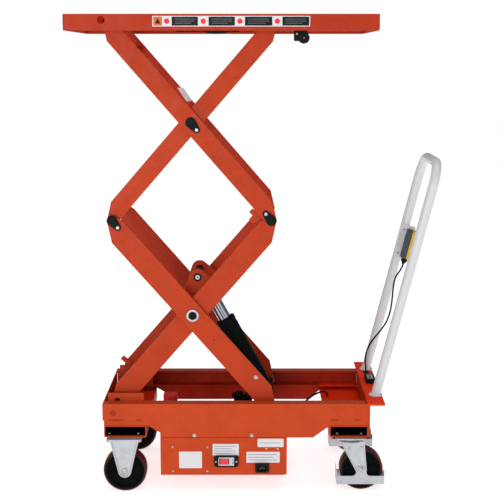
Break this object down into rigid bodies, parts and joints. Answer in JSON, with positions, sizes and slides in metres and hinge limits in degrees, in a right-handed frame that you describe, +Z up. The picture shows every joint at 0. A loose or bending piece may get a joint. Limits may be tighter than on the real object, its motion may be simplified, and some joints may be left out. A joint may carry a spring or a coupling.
{
  "type": "scissor lift table",
  "caption": "Mobile electric scissor lift table with stacked scissor arms, a hydraulic cylinder, casters, push handle and hand pendant.",
  "frame": {"origin": "on the floor under the middle of the overall bounding box", "axes": "+Z up; +X towards the push handle; -Y is the side with the power cover"},
  "size_m": [1.2455, 0.52, 1.615],
  "materials": {
    "orange_paint": "semi-gloss powder coat",
    "white_paint": "gloss powder coat",
    "zinc_plate": "zinc plated, satin",
    "chrome_rod": "polished",
    "black_steel": "satin black",
    "black_plastic": "moulded, matt",
    "black_rubber": "matt",
    "slate_plastic": "moulded, matt",
    "red_plastic": "gloss",
    "maroon_tread": "moulded polyurethane",
    "nylon": "machined nylon"
  },
  "bodies": {
    "chassis": {"side_rail_near": "orange_paint", "side_rail_far": "orange_paint", "caster_beam_front": "orange_paint", "caster_beam_rear": "orange_paint", "handle_end_plate": "orange_paint", "push_handle": "white_paint", "pendant_body": "slate_plastic", "pendant_strain_relief": "black_rubber", "pendant_cable": "black_rubber", "cable_grommet": "black_rubber", "battery_gauge": "black_plastic", "power_tray": "orange_paint", "power_cover": "orange_paint", "switch_bezel": "black_plastic", "charging_socket": "black_plastic", "battery": "black_plastic", "hydraulic_unit": "black_steel", "fixed_fork_near": "zinc_plate", "fixed_fork_far": "zinc_plate", "swivel_plate_near": "zinc_plate", "swivel_plate_far": "zinc_plate", "base_pivot_shaft": "black_steel"},
    "lower_inner": {"lower_inner_frame": "orange_paint", "cylinder_top_shaft": "black_steel"},
    "lower_outer": {"lower_outer_frame": "orange_paint", "lower_centre_pin_near": "zinc_plate", "lower_centre_pin_far": "zinc_plate", "base_roller_shaft": "zinc_plate", "front_hinge_shaft": "black_steel"},
    "upper_outer": {"upper_outer_frame": "orange_paint", "rear_hinge_shaft": "black_steel", "upper_centre_shaft": "black_steel", "table_pivot_shaft": "black_steel"},
    "upper_inner": {"upper_inner_frame": "orange_paint", "table_roller_shaft": "zinc_plate"},
    "table": {"table_top": "orange_paint", "limit_switch": "black_plastic"},
    "cylinder": {"cylinder_barrel": "black_steel"},
    "piston_rod": {"cylinder_rod": "chrome_rod"},
    "up_button_cap": {"up_button": "black_plastic"},
    "down_button_cap": {"down_button": "black_plastic"},
    "rocker": {"power_rocker": "red_plastic"},
    "front_wheel_near": {"wheel_core_front_near": "black_plastic", "wheel_tread_front_near": "maroon_tread"},
    "rear_wheel_near": {"wheel_core_rear_near": "black_plastic", "wheel_tread_rear_near": "maroon_tread"},
    "swivel_near": {"swivel_fork_near": "zinc_plate", "caster_axle_near": "zinc_plate"},
    "base_roller_near_body": {"base_roller_near": "nylon"},
    "table_roller_near_body": {"table_roller_near": "nylon"},
    "front_wheel_far": {"wheel_core_front_far": "black_plastic", "wheel_tread_front_far": "maroon_tread"},
    "rear_wheel_far": {"wheel_core_rear_far": "black_plastic", "wheel_tread_rear_far": "maroon_tread"},
    "swivel_far": {"swivel_fork_far": "zinc_plate", "caster_axle_far": "zinc_plate"},
    "base_roller_far_body": {"base_roller_far": "nylon"},
    "table_roller_far_body": {"table_roller_far": "nylon"}
  },
  "joints": [
    {"name": "lift", "type": "hinge", "parent": "chassis", "child": "lower_inner", "pos_m": [-0.4908, 0, 0.2827], "axis": [0, 1, 0], "range_deg": [0, 44.9]},
    {"name": "lower_centre", "type": "hinge", "parent": "lower_inner", "child": "lower_outer", "pos_m": [-0.2226, 0, 0.61028], "axis": [0, 1, 0], "range_deg": [-89.9, 0.1]},
    {"name": "rear_hinge", "type": "hinge", "parent": "lower_inner", "child": "upper_outer", "pos_m": [0.0456, 0, 0.93785], "axis": [0, 1, 0], "range_deg": [-89.9, 0.1]},
    {"name": "upper_centre", "type": "hinge", "parent": "upper_outer", "child": "upper_inner", "pos_m": [-0.2226, 0, 1.26543], "axis": [0, 1, 0], "range_deg": [-0.1, 89.9]},
    {"name": "table_pivot", "type": "hinge", "parent": "upper_outer", "child": "table", "pos_m": [-0.4908, 0, 1.593], "axis": [0, 1, 0], "range_deg": [-0.1, 45]},
    {"name": "cylinder_tilt", "type": "hinge", "parent": "lower_outer", "child": "cylinder", "pos_m": [0.02098, 0, 0.31277], "axis": [0, 1, 0], "range_deg": [-0.1, 5.06]},
    {"name": "rod_slide", "type": "slide", "parent": "cylinder", "child": "piston_rod", "axis": [-0.4842, 0, 0.875], "range_m": [-0.16377, 0.0005]},
    {"name": "front_wheel_spin_near", "type": "hinge", "parent": "chassis", "child": "front_wheel_near", "pos_m": [-0.458, -0.2, 0.075], "axis": [0, 1, 0], "continuous": true},
    {"name": "swivel_turn_near", "type": "hinge", "parent": "chassis", "child": "swivel_near", "pos_m": [0.32, -0.186, 0.1789], "axis": [0, 0, 1], "continuous": true},
    {"name": "rear_wheel_spin_near", "type": "hinge", "parent": "swivel_near", "child": "rear_wheel_near", "pos_m": [0.358, -0.186, 0.075], "axis": [0, 1, 0], "continuous": true},
    {"name": "base_roller_spin_near", "type": "hinge", "parent": "lower_outer", "child": "base_roller_near_body", "pos_m": [0.0456, -0.1945, 0.2827], "axis": [0, 1, 0], "continuous": true},
    {"name": "table_roller_spin_near", "type": "hinge", "parent": "upper_inner", "child": "table_roller_near_body", "pos_m": [0.0456, -0.1945, 1.593], "axis": [0, 1, 0], "continuous": true},
    {"name": "front_wheel_spin_far", "type": "hinge", "parent": "chassis", "child": "front_wheel_far", "pos_m": [-0.458, 0.2, 0.075], "axis": [0, 1, 0], "continuous": true},
    {"name": "swivel_turn_far", "type": "hinge", "parent": "chassis", "child": "swivel_far", "pos_m": [0.32, 0.186, 0.1789], "axis": [0, 0, 1], "continuous": true},
    {"name": "rear_wheel_spin_far", "type": "hinge", "parent": "swivel_far", "child": "rear_wheel_far", "pos_m": [0.358, 0.186, 0.075], "axis": [0, 1, 0], "continuous": true},
    {"name": "base_roller_spin_far", "type": "hinge", "parent": "lower_outer", "child": "base_roller_far_body", "pos_m": [0.0456, 0.1945, 0.2827], "axis": [0, 1, 0], "continuous": true},
    {"name": "table_roller_spin_far", "type": "hinge", "parent": "upper_inner", "child": "table_roller_far_body", "pos_m": [0.0456, 0.1945, 1.593], "axis": [0, 1, 0], "continuous": true},
    {"name": "up_button_press", "type": "slide", "parent": "chassis", "child": "up_button_cap", "axis": [-0.9711, 0, 0.2385], "range_m": [0, 0.003], "stiffness_N_per_m": 600},
    {"name": "down_button_press", "type": "slide", "parent": "chassis", "child": "down_button_cap", "axis": [-0.9711, 0, 0.2385], "range_m": [0, 0.003], "stiffness_N_per_m": 600},
    {"name": "rocker_switch", "type": "hinge", "parent": "chassis", "child": "rocker", "pos_m": [-0.1155, -0.224, 0.1085], "axis": [0, 0, 1], "range_deg": [-9.5, 0]}
  ],
  "couplings": [
    {"joint": "lower_centre", "follows": "lift", "ratio": -2},
    {"joint": "rear_hinge", "follows": "lift", "ratio": -2},
    {"joint": "upper_centre", "follows": "lift", "ratio": 2},
    {"joint": "table_pivot", "follows": "lift", "ratio": 1},
    {"joint": "cylinder_tilt", "follows": "lift", "ratio": 0.11039},
    {"joint": "rod_slide", "follows": "lift", "m_per_rad": -0.20834}
  ]
}
